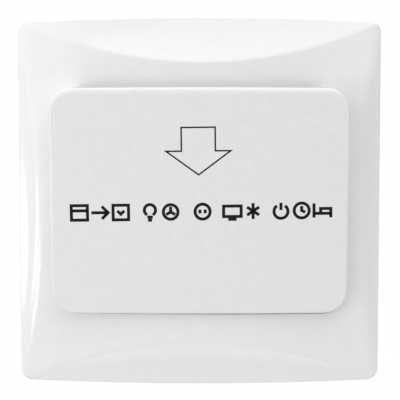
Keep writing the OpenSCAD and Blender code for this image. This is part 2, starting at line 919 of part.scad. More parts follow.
module terminal_clamps() {
    color("#c2a14d") upright() for (i = [-1:1])
        translate([i * terminal_pitch, clamp_foot + clamp_h / 2, 0]) difference() {
            translate([-clamp_w / 2, -clamp_h / 2, clamp_rear]) cube([clamp_w, clamp_h, clamp_front - clamp_rear]);
            translate([0, 0, wire_p]) rotate([90, 0, 0]) cylinder(r = clamp_wire_r, h = far, center = true);
            translate([0, 0, clamp_rear - eps])
                cylinder(r = clamp_screw_r + clamp_screw_fit, h = wire_p - clamp_rear);
        }
}

module terminal_screws() {
    color("#b9bcc0") upright() for (i = [-1:1])
        translate([i * terminal_pitch, clamp_foot + clamp_h / 2, clamp_rear]) difference() {
            union() {
                cylinder(r = clamp_screw_r, h = clamp_screw_in);
                translate([0, 0, -clamp_head_t]) cylinder(r = clamp_head_r, h = clamp_head_t);
            }
            translate([0, 0, -clamp_head_t]) cube([3 * clamp_head_r, slot_w, 2 * slot_t], center = true);
        }
}

fascia();
card_cover();
mounting_frame();
rear_housing();
flange_screws();
circuit_board();
board_screws();
card_lever();
lever_pin();
switch_plunger();
microswitch_case();
relay();
film_capacitor();
smoothing_capacitor();
varistor();
fuse();
bridge_rectifier();
timer_chip();
transistor();
bleed_resistor();
base_resistor();
terminal_block_live();
terminal_block_neutral();
terminal_block_load();
terminal_clamps();
terminal_screws();
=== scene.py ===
import math

import bmesh
import bpy
import numpy as np
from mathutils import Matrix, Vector


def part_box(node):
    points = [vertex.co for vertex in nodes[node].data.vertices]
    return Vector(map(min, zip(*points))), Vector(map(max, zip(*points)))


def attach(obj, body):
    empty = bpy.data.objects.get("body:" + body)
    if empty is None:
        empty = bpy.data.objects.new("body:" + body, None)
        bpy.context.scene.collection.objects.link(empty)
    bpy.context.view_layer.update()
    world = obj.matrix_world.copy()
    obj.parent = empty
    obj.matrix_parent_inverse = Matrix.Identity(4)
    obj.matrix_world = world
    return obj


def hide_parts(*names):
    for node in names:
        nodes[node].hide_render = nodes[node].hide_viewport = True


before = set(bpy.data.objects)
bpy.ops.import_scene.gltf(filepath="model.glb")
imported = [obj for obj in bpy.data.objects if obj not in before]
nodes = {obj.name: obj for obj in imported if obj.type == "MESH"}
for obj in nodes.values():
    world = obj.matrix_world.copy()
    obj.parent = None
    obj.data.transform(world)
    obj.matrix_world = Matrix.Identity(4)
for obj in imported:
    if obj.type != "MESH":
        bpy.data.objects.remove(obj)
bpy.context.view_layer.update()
mm = 0.001

# Mounting frame.
# A flat grey-white moulding that two screws hold on the wall box, hidden behind the plate.
# Its tool was spark-eroded, so the faces carry a fine even grain and no gloss.
frame_colour = (0.62, 0.63, 0.63)
noise_low = 0.3
noise_high = 0.7
cloud_detail = 4.0
grain_detail = 3.0
gloss_grain = 260.0
gloss_spread = 0.04


def new_material(name):
    mat = bpy.data.materials.new(name)
    mat.use_nodes = True
    return mat


def shader_of(mat):
    return mat.node_tree.nodes["Principled BSDF"]


def add_node(owner, kind, **settings):
    """A node of that kind in a material or world, with its properties set."""
    node = owner.node_tree.nodes.new(kind)
    for key, value in settings.items():
        setattr(node, key, value)
    return node


def noise(mat, grain, detail=2.0, stretch=(1.0, 1.0, 1.0)):
    """Solid noise in the object's own space, in grains a metre, stretched along an axis."""
    place = add_node(mat, "ShaderNodeTexCoord")
    mapping = add_node(mat, "ShaderNodeMapping")
    mapping.inputs["Scale"].default_value = stretch
    texture = add_node(mat, "ShaderNodeTexNoise")
    texture.inputs["Scale"].default_value = grain
    texture.inputs["Detail"].default_value = detail
    mat.node_tree.links.new(place.outputs["Object"], mapping.inputs["Vector"])
    mat.node_tree.links.new(mapping.outputs["Vector"], texture.inputs["Vector"])
    return texture.outputs["Fac"]


def paint(mat, value, colour_a, colour_b):
    """Colour that runs from one tone to the other with a 0 to 1 value."""
    ramp = add_node(mat, "ShaderNodeValToRGB")
    ramp.color_ramp.elements[0].position = noise_low
    ramp.color_ramp.elements[0].color = (*colour_a, 1)
    ramp.color_ramp.elements[1].position = noise_high
    ramp.color_ramp.elements[1].color = (*colour_b, 1)
    mat.node_tree.links.new(value, ramp.inputs["Fac"])
    mat.node_tree.links.new(ramp.outputs["Color"], shader_of(mat).inputs["Base Color"])


def set_gloss(mat, value, low, high):
    """Roughness that wanders from low to high with a noise value."""
    node = add_node(mat, "ShaderNodeMapRange")
    node.inputs["From Min"].default_value = noise_low
    node.inputs["From Max"].default_value = noise_high
    node.inputs["To Min"].default_value = low
    node.inputs["To Max"].default_value = high
    mat.node_tree.links.new(value, node.inputs["Value"])
    mat.node_tree.links.new(node.outputs["Result"], shader_of(mat).inputs["Roughness"])


def raise_grain(mat, value, depth):
    """Bump of that depth in metres."""
    bump = add_node(mat, "ShaderNodeBump")
    bump.inputs["Strength"].default_value = 1.0
    bump.inputs["Distance"].default_value = depth
    mat.node_tree.links.new(value, bump.inputs["Height"])
    mat.node_tree.links.new(bump.outputs["Normal"], shader_of(mat).inputs["Normal"])


def moulded(name, colour, rough, grain, depth, cloud=0.03, cloud_grain=45.0):
    """Moulded plastic: slight clouds in its colour, and grain in its gloss and its surface."""
    mat = new_material(name)
    darker = tuple(c * (1 - cloud) for c in colour)
    paint(mat, noise(mat, cloud_grain, cloud_detail), darker, colour)
    set_gloss(mat, noise(mat, gloss_grain), rough - gloss_spread, rough + gloss_spread)
    raise_grain(mat, noise(mat, grain, grain_detail), depth)
    return mat


def dress(name, mat):
    """Gives a solid of the frame its finish."""
    nodes[name].data.materials.clear()
    nodes[name].data.materials.append(mat)


dress("mounting_frame", moulded("frame_grained", frame_colour, rough=0.6, grain=5200.0, depth=6e-6))

# Rear housing.
# The dark box that sinks into the wall behind the plate, moulded in flame-proof nylon with a
# step for the terminals and vent slots in its top. Glass fibre leaves it matt and speckled.
housing_colour = (0.045, 0.048, 0.052)
housing_nylon = moulded(
    "housing_nylon", housing_colour, rough=0.55, grain=3800.0, depth=1e-5, cloud=0.25)
dress("rear_housing", housing_nylon)

# Flange, board and terminal screws.
# Zinc-plated steel, headed and rolled in quantity, so each is bright with fine turned rings.
# They hold the housing in the frame, the board on its posts and the wires in their clamps.
screw_colour = (0.62, 0.63, 0.66)
stain_tone = 0.82
stain_grain = 700.0
line_grain = 3000.0
line_gloss = 0.08
line_depth = 3e-6


def plated(name, colour, rough, stretch=(1.0, 1.0, 1.0)):
    """Plated or drawn metal: fine lines in its gloss and faint stains in its tone."""
    mat = new_material(name)
    shader_of(mat).inputs["Metallic"].default_value = 1.0
    stained = tuple(c * stain_tone for c in colour)
    paint(mat, noise(mat, stain_grain), stained, colour)
    lines = noise(mat, line_grain, stretch=stretch)
    set_gloss(mat, lines, rough - line_gloss, rough + line_gloss)
    raise_grain(mat, lines, line_depth)
    return mat


zinc = plated("zinc_plate", screw_colour, rough=0.38)
for screws in ("flange_screws", "board_screws", "terminal_screws"):
    dress(screws, zinc)

# Circuit board.
# Glass-fibre laminate under green lacquer. The copper tracks stand up under the lacquer as
# slightly lighter bands with square corners.
board_green = (0.012, 0.085, 0.032)
track_green = (0.03, 0.16, 0.06)
track_grain = 380.0
track_share = 0.09
track_height = 2.5e-5
lacquer_grain = 500.0
lacquer_gloss = (0.3, 0.42)


def lacquered_board(name):
    """Green lacquer over tracks, which run in the board's own plane."""
    mat = new_material(name)
    place = add_node(mat, "ShaderNodeTexCoord")
    turn = add_node(mat, "ShaderNodeMapping")
    turn.inputs["Rotation"].default_value = (math.radians(90), 0, 0)
    tracks = add_node(mat, "ShaderNodeTexBrick", offset=0.37, squash=0.6, squash_frequency=3)
    tracks.inputs["Color1"].default_value = (0, 0, 0, 1)
    tracks.inputs["Color2"].default_value = (0.25, 0.25, 0.25, 1)
    tracks.inputs["Mortar"].default_value = (1, 1, 1, 1)
    tracks.inputs["Scale"].default_value = track_grain
    tracks.inputs["Mortar Size"].default_value = track_share
    mat.node_tree.links.new(place.outputs["Object"], turn.inputs["Vector"])
    mat.node_tree.links.new(turn.outputs["Vector"], tracks.inputs["Vector"])
    paint(mat, tracks.outputs["Color"], board_green, track_green)
    set_gloss(mat, noise(mat, lacquer_grain), *lacquer_gloss)
    raise_grain(mat, tracks.outputs["Color"], track_height)
    return mat


dress("circuit_board", lacquered_board("green_lacquer"))

# Parts on the board.
# Bought components: a relay, film capacitor, varistor, fuse, bridge rectifier, timer chip,
# transistor and the microswitch, each soldered to the board in its usual moulded or dipped case.
# Each row gives the case's colour, roughness, grains a metre and their depth.
case_finishes = {
    "relay": ((0.02, 0.075, 0.28), 0.42, 2600.0, 5e-6),
    "film_capacitor": ((0.62, 0.38, 0.03), 0.46, 2200.0, 5e-6),
    "varistor": ((0.015, 0.12, 0.36), 0.22, 600.0, 2e-5),
    "fuse": ((0.13, 0.035, 0.02), 0.38, 2400.0, 5e-6),
    "bridge_rectifier": ((0.012, 0.012, 0.014), 0.5, 4200.0, 8e-6),
    "timer_chip": ((0.016, 0.016, 0.018), 0.56, 5200.0, 8e-6),
    "transistor": ((0.014, 0.014, 0.015), 0.52, 4600.0, 8e-6),
    "microswitch_case": ((0.018, 0.018, 0.02), 0.48, 3600.0, 6e-6),
}
for part, (colour, rough, grain, depth) in case_finishes.items():
    dress(part, moulded(part + "_case", colour, rough, grain, depth, cloud=0.12))

# Smoothing capacitor.
# A drawn aluminium can in a shrunk dark sleeve. The sleeve ends just over the rim, so the bare
# scored top shows as a bright disc.
sleeve_colour = (0.012, 0.016, 0.03)
sleeve_edge = 0.3 * mm
can_colour = (0.72, 0.73, 0.75)
can_gloss = (0.3, 0.4)
can_gloss_grain = 900.0
can_grain = 1500.0
can_depth = 4e-6
can_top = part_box("smoothing_capacitor")[1].y


def place_along(mat, axis):
    """The object's own measure along an axis, in metres."""
    place = add_node(mat, "ShaderNodeTexCoord")
    parts = add_node(mat, "ShaderNodeSeparateXYZ")
    mat.node_tree.links.new(place.outputs["Object"], parts.inputs["Vector"])
    return parts.outputs[axis]


def sleeved_can(name, bare_from):
    """Sleeve along y as far as the top, which is bare metal."""
    mat = new_material(name)
    bare = add_node(mat, "ShaderNodeMath", operation="GREATER_THAN")
    bare.inputs[1].default_value = bare_from
    mat.node_tree.links.new(place_along(mat, "Y"), bare.inputs[0])
    mat.node_tree.links.new(bare.outputs["Value"], shader_of(mat).inputs["Metallic"])
    paint(mat, bare.outputs["Value"], sleeve_colour, can_colour)
    set_gloss(mat, noise(mat, can_gloss_grain), *can_gloss)
    raise_grain(mat, noise(mat, can_grain), can_depth)
    return mat


dress("smoothing_capacitor", sleeved_can("sleeved_can", can_top - sleeve_edge))

# Bleed and base resistors.
# Small ceramic rods under tan lacquer, with swollen end caps, three painted rings and tinned
# wire legs that are soldered to the board.
resistor_tan = (0.55, 0.36, 0.18)
leg_tin = (0.6, 0.6, 0.6)
ring_colours = [(0.16, 0.05, 0.02), (0.02, 0.02, 0.02), (0.5, 0.04, 0.02)]
body_from = 0.2
body_to = 0.8
first_ring = 0.3
ring_pitch = 0.13
ring_width = 0.06
resistor_gloss = (0.3, 0.42)
resistor_gloss_grain = 900.0
resistor_grain = 1800.0
resistor_depth = 5e-6


def ringed(name, low, high):
    """Rings along x between the wire legs at either end."""
    mat = new_material(name)
    along = add_node(mat, "ShaderNodeMapRange")
    along.inputs["From Min"].default_value = low
    along.inputs["From Max"].default_value = high
    stops = [(0.0, leg_tin), (body_from, resistor_tan)]
    for i, ring_colour in enumerate(ring_colours):
        at = first_ring + ring_pitch * i
        stops += [(at, ring_colour), (at + ring_width, resistor_tan)]
    stops.append((body_to, leg_tin))
    ramp = add_node(mat, "ShaderNodeValToRGB")
    ramp.color_ramp.interpolation = "CONSTANT"
    while len(ramp.color_ramp.elements) < len(stops):
        ramp.color_ramp.elements.new(1.0)
    for element, (at, colour) in zip(ramp.color_ramp.elements, stops):
        element.position = at
        element.color = (*colour, 1)
    mat.node_tree.links.new(place_along(mat, "X"), along.inputs["Value"])
    mat.node_tree.links.new(along.outputs["Result"], ramp.inputs["Fac"])
    mat.node_tree.links.new(ramp.outputs["Color"], shader_of(mat).inputs["Base Color"])
    set_gloss(mat, noise(mat, resistor_gloss_grain), *resistor_gloss)
    raise_grain(mat, noise(mat, resistor_grain), resistor_depth)
    return mat


for resistor in ("bleed_resistor", "base_resistor"):
    low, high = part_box(resistor)
    dress(resistor, ringed(resistor + "_rings", low.x, high.x))

# Terminals.
# Three grey polyamide blocks in a row under the board, each with a brass clamp that a slotted
# screw closes on the wire.
terminal_colour = (0.13, 0.14, 0.145)
brass_colour = (0.72, 0.5, 0.19)
for terminal in ("terminal_block_live", "terminal_block_neutral", "terminal_block_load"):
    terminal_case = moulded(
        terminal + "_case", terminal_colour, rough=0.5, grain=3200.0, depth=8e-6, cloud=0.1)
    dress(terminal, terminal_case)
dress("terminal_clamps", plated("clamp_brass", brass_colour, rough=0.38, stretch=(1.0, 0.06, 1.0)))

# Lever, pin and plunger.
# The white acetal lever swings on a ground steel pin when a card pushes its tip back, and its
# nub presses the red button of the microswitch. Acetal has a waxy, even sheen.
lever_colour = (0.7, 0.7, 0.67)
pin_colour = (0.68, 0.69, 0.7)
plunger_colour = (0.45, 0.045, 0.025)
dress("card_lever", moulded("lever_acetal", lever_colour, rough=0.36, grain=1800.0, depth=4e-6))
dress("lever_pin", plated("ground_steel", pin_colour, rough=0.18, stretch=(0.05, 1.0, 1.0)))
plunger_red = moulded(
    "plunger_red", plunger_colour, rough=0.4, grain=2600.0, depth=4e-6, cloud=0.1)
dress("switch_plunger", plunger_red)

# Plate.
# The cushion-shaped front, one glossy white moulding that clips over the frame: a shallow crown
# with four lens-shaped slopes, a rolled scoop above the pocket and a recess for the cover.
plate_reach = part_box("fascia")[1]
half_w = plate_reach.x
half_h = plate_reach.z
bow = 1.1 * mm
rear = 0.3 * mm
rim = 4.6 * mm
rim_round = 0.8 * mm
crown = 9 * mm
end_depth = 10.7 * mm
side_depth = 4.7 * mm
corner = 2.8 * mm
least_corner = 0.4 * mm
plate_wall = 2 * mm
end_blend = 0.08 * mm
side_blend = 0.7 * mm
end_hollow = 0.3 * mm
side_hollow = 0.21 * mm

bow_radius = (half_w ** 2 + bow ** 2) / (2 * bow)
bow_middle = half_h - bow_radius
crown_rise = crown - rim
crown_radius = (half_w ** 2 + (half_h - bow) ** 2 + crown_rise ** 2) / (2 * crown_rise)

# The cover's sizes, which the plate's recess and pocket follow.
cover_w = 70 * mm
cover_h = 53.5 * mm
cover_top = cover_h / 2
cover_raise = 0.68 * mm
cover_corner = 5.5 * mm
cover_edge = 0.65 * mm
cover_lean = math.radians(4.2)
cover_face = 11.999 * mm
cover_gap = 0.03 * mm
top_bow = 0.15 * mm
foot_bow = 0.2 * mm
foot_gap = 0.36 * mm
foot_skew = 0.08 * mm
foot_spread = 0.13 * mm
pocket_half = 28.5 * mm
pocket_floor = 6 * mm
pocket_rear = 4.2 * mm
scoop_base = 3 * mm
scoop_rise = 4 * mm
scoop_line = cover_raise + cover_top - scoop_base
scoop_end = 22 * mm
scoop_dip = 0.125 * mm
lip_tuck = 1.2 * mm
lip_margin = 0.5 * mm
lip_ease = 0.05 * mm
lip_drop = 0.04 * mm


def crown_at(x, y):
    return crown - crown_radius + np.sqrt(crown_radius ** 2 - x * x - y * y)


end_slope = (crown_at(0, half_h - end_depth) - rim) / end_depth
side_slope = (crown_at(half_w - side_depth, 0) - rim) / side_depth


def lower_of(a, b, blend):
    """The lower of two surfaces, with the edge between them eased over a small height."""
    near = np.maximum(blend - np.abs(a - b), 0)
    return np.minimum(a, b) - near * near / (4 * blend)


def hollow(run, along, depth, sag):
    """How far a lens-shaped slope is hollowed at a run from its rim, at a share along the rim."""
    width = depth * np.maximum(1 - along * along, 0)
    return 4 * sag * np.maximum(run, 0) * np.maximum(width - run, 0) / depth ** 2


def plate_face(x, y, inset=0.0):
    """Height of the cushion above the wall at x, y, or of its inner skin at that inset."""
    up = bow_radius - inset - np.hypot(x, y - bow_middle)
    down = bow_radius - inset - np.hypot(x, y + bow_middle)
    from_end = np.minimum(up, down)
    from_side = half_w - inset - np.abs(x)
    ends = rim - inset + end_slope * from_end
    ends = ends - hollow(from_end, x / half_w, end_depth, end_hollow)
    sides = rim - inset + side_slope * from_side
    sides = sides - hollow(from_side, y / half_h, side_depth, side_hollow)
    face = lower_of(crown_at(x, y) - inset, ends, end_blend)
    return lower_of(face, sides, side_blend)


def scooped_face(x, y):
    """The plate's face with the rolled scoop that guides a card into the pocket."""
    run = np.hypot(np.maximum(np.abs(x) - scoop_end, 0), y - scoop_line)
    share = np.clip((run - scoop_base) / scoop_rise, 0, 1)
    return plate_face(x, y) - scoop_dip * (1 - share) ** 2


# The notch in the rear edge takes a screwdriver that lifts the plate off.
notch_half = 4 * mm
notch_top = 1.5 * mm
notch_step = 2e-4
touch = 1e-6
side_count = 72
corner_count = 15
notch_share = notch_half / (half_w - corner)
side_steps = np.linspace(-1, 1, side_count + 2)[1:-1]
notch_edges = [s * (notch_share + extra) for s in (-1, 1) for extra in (0, notch_step)]
side_shares = np.sort(np.concatenate([side_steps, notch_edges]))


def loop(w, h, r, bow_r=None, middle=0.0, shares=side_shares):
    """Points round a rounded outline with half sizes w and h, in step with every other outline.
    A bowed outline gives the radius of its top and bottom edges."""
    if bow_r is None:
        corner_y = h - r
        lean = math.pi / 2
    else:
        corner_y = h - bow_r + math.sqrt((bow_r - r) ** 2 - (w - r) ** 2)
        lean = math.atan2(corner_y - h + bow_r, w - r)
    turn = np.linspace(0, lean, corner_count)
    rounding = np.stack([w - r + r * np.cos(turn), corner_y + r * np.sin(turn)], 1)
    end_x = rounding[-1, 0] * shares
    end_y = np.full_like(end_x, h)
    if bow_r is not None:
        end_y = h - bow_r + np.sqrt(bow_r ** 2 - end_x ** 2)
    right = np.stack([np.full_like(shares, w), corner_y * shares], 1)
    bottom = np.stack([end_x, -end_y], 1)
    points = np.concatenate([
        right, rounding, -bottom, (rounding * (-1, 1))[::-1],
        -right, -rounding, bottom, (rounding * (1, -1))[::-1]])
    return points + (0, middle)


def at_height(points, height):
    """A ring of points at a height, or at one height for each point."""
    return np.column_stack([points, np.broadcast_to(height, len(points))])


def plate_outline(inset):
    r = max(corner - inset, least_corner)
    return loop(half_w - inset, half_h - inset, r, bow_radius - inset)


def rear_edge(outline):
    """The plate's rear edge round an outline, cut back at the notch."""
    in_notch = (np.abs(outline[:, 0]) <= notch_half + touch) & (outline[:, 1] < 0)
    return at_height(outline, np.where(in_notch, notch_top, rear))


def cover_place(u, v, lift):
    """A point of the cover's own plane, u across and v up from its middle, as x, y and height.
    The cover's upper and lower edges bow out a little."""
    across = (u / pocket_half) ** 2
    bowed = np.where(v > 0, -top_bow * across, foot_bow * (1 - across)) * v / cover_top
    up = v + bowed + cover_raise
    y = up * math.cos(cover_lean) - lift * math.sin(cover_lean)
    height = cover_face + up * math.sin(cover_lean) + lift * math.cos(cover_lean)
    return np.column_stack([np.broadcast_to(u, np.shape(y)), y, height])


def recess_ring(widen, height_of):
    """The cover's recess, widened, where it meets a surface given as a height at x and y.
    Along the mouth the lip runs on behind the cover, and at the foot there is a shadow gap."""
    outline = loop(cover_w / 2 + widen, cover_top + widen, cover_corner + widen)
    in_mouth = np.abs(outline[:, 0]) < pocket_half - lip_margin
    at_mouth = (outline[:, 1] > cover_top) & in_mouth
    at_foot = np.clip((-outline[:, 1] - cover_top + cover_corner) / cover_corner, 0, 1)
    across = outline[:, 0] / pocket_half
    foot = foot_gap + foot_skew * across + foot_spread * across ** 2
    outline[:, 1] -= lip_tuck * at_mouth + foot * at_foot
    flat = cover_place(outline[:, 0], outline[:, 1], -cover_edge)[:, :2]
    return at_height(flat, height_of(flat[:, 0], flat[:, 1]))


rim_turns = np.radians([10, 20, 30, 40, 50, 60, 70, 80, 90])


def rim_rings():
    """The outer wall from its rear edge, and the rounding that turns it into the slopes."""
    outer = plate_outline(0)
    on_side = np.abs(outer[:, 0]) / half_w > np.abs(outer[:, 1]) / half_h
    slope = np.where(on_side, side_slope, end_slope)
    wall_top = rim + slope * rim_round - rim_round * np.sqrt(1 + slope ** 2)
    tangent = np.arctan2(1, slope)
    rings = [rear_edge(outer), at_height(outer, wall_top)]
    for turn in rim_turns:
        ring = plate_outline(rim_round * (1 - math.cos(turn)))
        rounded = wall_top + rim_round * math.sin(turn)
        face = scooped_face(ring[:, 0], ring[:, 1])
        rings.append(at_height(ring, np.where(turn < tangent, np.minimum(rounded, face), face)))
    return rings


def face_rings(outer, inner, count):
    """The front between two rings, each point on the scooped face."""
    rings = []
    for share in np.linspace(0, 1, count + 2)[1:-1]:
        flat = outer[:, :2] * (1 - share) + inner[:, :2] * share
        rings.append(at_height(flat, scooped_face(flat[:, 0], flat[:, 1])))
    return rings


face_count = 52
inner_count = 7
window_half = 5.6 * mm
window_half_h = 6.3 * mm
window_middle = -8.9 * mm
window_corner = 0.3 * mm
pad_half = 37.2 * mm
pad_half_h = 31.7 * mm
pad_middle = 3.35 * mm
pad_corner = 0.5 * mm

# The skin runs from the rear edge over the front into the recess, through the lever's window to
# the pocket's rear wall, and back along the inside to the rear edge.
rings = rim_rings()
recess_rim = recess_ring(cover_gap + lip_ease, scooped_face)
recess_edge = recess_ring(cover_gap, scooped_face)
recess_edge[:, 2] = np.maximum(recess_edge[:, 2] - lip_drop, pocket_floor)
recess_foot = recess_ring(cover_gap, lambda x, y: np.full_like(x, pocket_floor))
rings += face_rings(rings[-1], recess_rim, face_count)
rings += [recess_rim, recess_edge, recess_foot]
window = loop(window_half, window_half_h, window_corner, middle=window_middle)
pad = loop(pad_half, pad_half_h, pad_corner, middle=pad_middle)
rings += [at_height(window, pocket_floor), at_height(window, pocket_rear)]
rings.append(at_height(pad, pocket_rear))
inside = plate_outline(plate_wall)
for share in np.linspace(0, 1, inner_count):
    flat = pad * (1 - share) + inside * share
    rings.append(at_height(flat, plate_face(flat[:, 0], flat[:, 1], plate_wall)))
rings.append(rear_edge(inside))


def upright(point):
    """A point drawn as x, y up and height above the wall, in the frame's axes."""
    return Vector((point[0], -point[2], point[1]))


def skin(mesh, rings, capped=False):
    """Closed skin through the rings: the last joined to the first, or both capped."""
    rows = [[mesh.verts.new(upright(p)) for p in ring] for ring in rings]
    if capped:
        mesh.faces.new(rows[0][::-1])
        mesh.faces.new(rows[-1])
    following_rows = rows[1:] if capped else rows[1:] + rows[:1]
    for row, following in zip(rows, following_rows):
        for i in range(len(row)):
            after = (i + 1) % len(row)
            mesh.faces.new((row[i], row[after], following[after], following[i]))


def bar(mesh, section, x_from, x_to):
    """A section drawn as y and height, run along x."""
    ends = [[mesh.verts.new(upright((x, y, p))) for y, p in section] for x in (x_from, x_to)]
    mesh.faces.new(ends[0])
    mesh.faces.new(ends[1][::-1])
    for i in range(len(section)):
        after = (i + 1) % len(section)
        mesh.faces.new((ends[0][after], ends[0][i], ends[1][i], ends[1][after]))


def finish_mesh(name, mesh, mat, sharp):
    """Turns the worked mesh into a piece with smooth faces, and edges over sharp degrees hard."""
    bmesh.ops.recalc_face_normals(mesh, faces=mesh.faces)
    data = bpy.data.meshes.new(name)
    mesh.to_mesh(data)
    mesh.free()
    data.shade_smooth()
    data.set_sharp_from_angle(angle=math.radians(sharp))
    piece = bpy.data.objects.new(name, data)
    piece.data.materials.append(mat)
    bpy.context.scene.collection.objects.link(piece)
    return piece


# Snap hooks for the frame's windows, ears for the lever's pin, and ribs beside the lower hooks.
# Sections are in millimetres, as y and height above the wall.
hook_x = 20 * mm
hook_half = 3.5 * mm
hook_y = 33.8 * mm
hook_section = [(0, 0.3), (1.4, 0.3), (2.3, 0.7), (2.3, 1.0), (1.4, 1.0), (1.4, 6.0), (0, 6.0)]
ear_x = 8.2 * mm
ear_half = 0.8 * mm
ear_round = 2.2 * mm
ear_sink = 0.3 * mm
ear_turns = np.radians(np.linspace(180, 360, 13))
pivot_y = 4 * mm
pivot_height = 2.2 * mm
rib_half = 0.6 * mm
rib_offset = 5.5 * mm
rib_section = [(-39, 3.5), (-30.8, 3.5), (-30.8, 6), (-39, 4.4)]

plate_mesh = bmesh.new()
skin(plate_mesh, rings)
ear_foot = pocket_rear + ear_sink
ear = [(pivot_y + ear_round * math.cos(a), pivot_height + ear_round * math.sin(a))
       for a in ear_turns]
ear += [(pivot_y + ear_round, ear_foot), (pivot_y - ear_round, ear_foot)]
rib = [(y * mm, p * mm) for y, p in rib_section]
for sx in (-1, 1):
    for sy in (-1, 1):
        hook = [(sy * (hook_y + y * mm), p * mm) for y, p in hook_section]
        bar(plate_mesh, hook, sx * hook_x - hook_half, sx * hook_x + hook_half)
    bar(plate_mesh, ear, sx * ear_x - ear_half, sx * ear_x + ear_half)
    for side in (-1, 1):
        rib_x = sx * (hook_x + side * rib_offset)
        bar(plate_mesh, rib, rib_x - rib_half, rib_x + rib_half)

plate_colour = (0.818, 0.818, 0.818)
plate_rough = 0.1
dull_tone = 0.976
dull_grain = 420.0
polish_grain = 120.0
polish_spread = 0.03
wave_grain = 220.0
wave_depth = 2e-6


def polished(name, colour, rough):
    """Polished white plastic: long low waves from the tool's polish, and a few dull patches."""
    mat = new_material(name)
    duller = tuple(c * dull_tone for c in colour)
    paint(mat, noise(mat, dull_grain, cloud_detail), duller, colour)
    set_gloss(mat, noise(mat, polish_grain), rough - polish_spread, rough + polish_spread)
    raise_grain(mat, noise(mat, wave_grain, detail=1.0), wave_depth)
    return mat


plate_gloss = polished("plate_gloss", plate_colour, plate_rough)
plate = finish_mesh("plate", plate_mesh, plate_gloss, sharp=32)
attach(plate, "switch")
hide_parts("fascia")

# Cover.
# The raised satin cover of the card pocket, moulded in the same white with a finely etched face
# and rounded edges. It is a shallow tray, open at its top as the card's mouth, and four pegs
# behind it are heat-staked through the plate.
cover_colour = (0.78, 0.78, 0.78)
cover_wall = 1.8 * mm
cover_shoulder = 1.3 * mm
foot_sharper = 0.8
top_softer = 0.25
side_sharper = 0.7
face_insets = (18 * mm, 9 * mm, 4 * mm, 2 * mm)
edge_turns = np.radians(np.linspace(0, 90, 13))
mouth_flare = 0.5 * mm
mouth_run = 3 * mm
mouth_count = 76
mouth_step = 1e-4
pocket_foot = 2.2 * mm
pocket_ease = 0.4 * mm
pocket_draft = 0.985
weld = 5e-7

mouth_share = pocket_half / (cover_w / 2 - cover_corner)
mouth_shares = np.linspace(-mouth_share, mouth_share, mouth_count)
mouth_end = mouth_share + mouth_step
cover_shares = np.concatenate([[-mouth_end], mouth_shares, [mouth_end]])


def cover_ring(inset, lift):
    """A ring of the cover's front, inset from its outline, at a lift from its face.
    The edge is rolled more softly at the top and more sharply at the sides and the foot."""
    r = max(cover_corner - inset, least_corner)
    outline = loop(cover_w / 2 - inset, cover_top - inset, r, shares=cover_shares)
    at_side = np.clip((cover_corner - cover_w / 2 + np.abs(outline[:, 0])) / cover_corner, 0, 1)
    at_foot = np.clip((cover_corner - cover_top - outline[:, 1]) / cover_corner, 0, 1)
    at_top = np.clip((cover_corner - cover_top + outline[:, 1]) / cover_corner, 0, 1)
    outline[:, 0] += side_sharper * inset * at_side * np.sign(outline[:, 0])
    outline[:, 1] -= foot_sharper * inset * at_foot + top_softer * inset * at_top
    return cover_place(outline[:, 0], outline[:, 1], np.full(len(outline), lift))


def tray_rings():
    """The cover's edge down to the plate, and its pocket. The mouth has the front wall only."""
    u, v = loop(cover_w / 2, cover_top, cover_corner, shares=cover_shares).T
    mouth = (v > cover_top - touch) & (np.abs(u) < pocket_half + touch)
    inner_u = np.clip(u, -pocket_half, pocket_half)
    inner_v = np.clip(v, pocket_foot - cover_top, cover_top)
    eased_v = np.clip(inner_v, pocket_ease + pocket_foot - cover_top, cover_top - mouth_run)
    flared = mouth_flare * np.clip((inner_v - cover_top + mouth_run) / mouth_run, 0, 1)

    edge = cover_place(u, v, -cover_edge)
    inner = cover_place(inner_u, inner_v, -cover_edge)
    wall = cover_place(inner_u, inner_v, flared - cover_wall)[:, 2]
    foot = np.where(mouth, wall, pocket_floor)
    return [
        at_height(edge[:, :2], foot),
        at_height(inner[:, :2], foot),
        at_height(inner[:, :2], wall),
        cover_place(inner_u * pocket_draft, eased_v, np.full_like(u, -cover_wall)),
    ]


cover_mesh = bmesh.new()
cover_rings = [cover_ring(inset, 0.0) for inset in face_insets]
for turn in edge_turns:
    inset = cover_shoulder * (1 - math.sin(turn))
    cover_rings.append(cover_ring(inset, cover_edge * (math.cos(turn) - 1)))
skin(cover_mesh, cover_rings + tray_rings(), capped=True)
bmesh.ops.remove_doubles(cover_mesh, verts=cover_mesh.verts, dist=weld)

# Each peg's profile, as radius and height above the wall, from its root to its staked head.
peg_x = 31.6 * mm
peg_y = 14 * mm
peg_round = 1.5 * mm
peg_root = 6.3 * mm
head_round = 2.3 * mm
head_seat = 4.2 * mm
head_edge = 3.6 * mm
head_end = 3.3 * mm
head_ease = 0.4 * mm
peg_count = 24
peg_profile = [
    (peg_round, peg_root), (peg_round, head_seat), (head_round, head_seat),
    (head_round, head_edge), (head_round - head_ease, head_end)]
peg_turns = np.linspace(0, 2 * math.pi, peg_count, endpoint=False)
for x in (-peg_x, peg_x):
    for y in (cover_raise - peg_y, cover_raise + peg_y):
        peg_rings = []
        for r, height in peg_profile:
            circle = np.column_stack([x + r * np.cos(peg_turns), y + r * np.sin(peg_turns)])
            peg_rings.append(at_height(circle, height))
        skin(cover_mesh, peg_rings, capped=True)

cover_satin = moulded(
    "cover_satin", cover_colour, rough=0.2, grain=2600.0, depth=3e-6,
    cloud=0.034, cloud_grain=560.0)
cover = finish_mesh("cover", cover_mesh, cover_satin, sharp=32)
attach(cover, "switch")
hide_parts("card_cover")

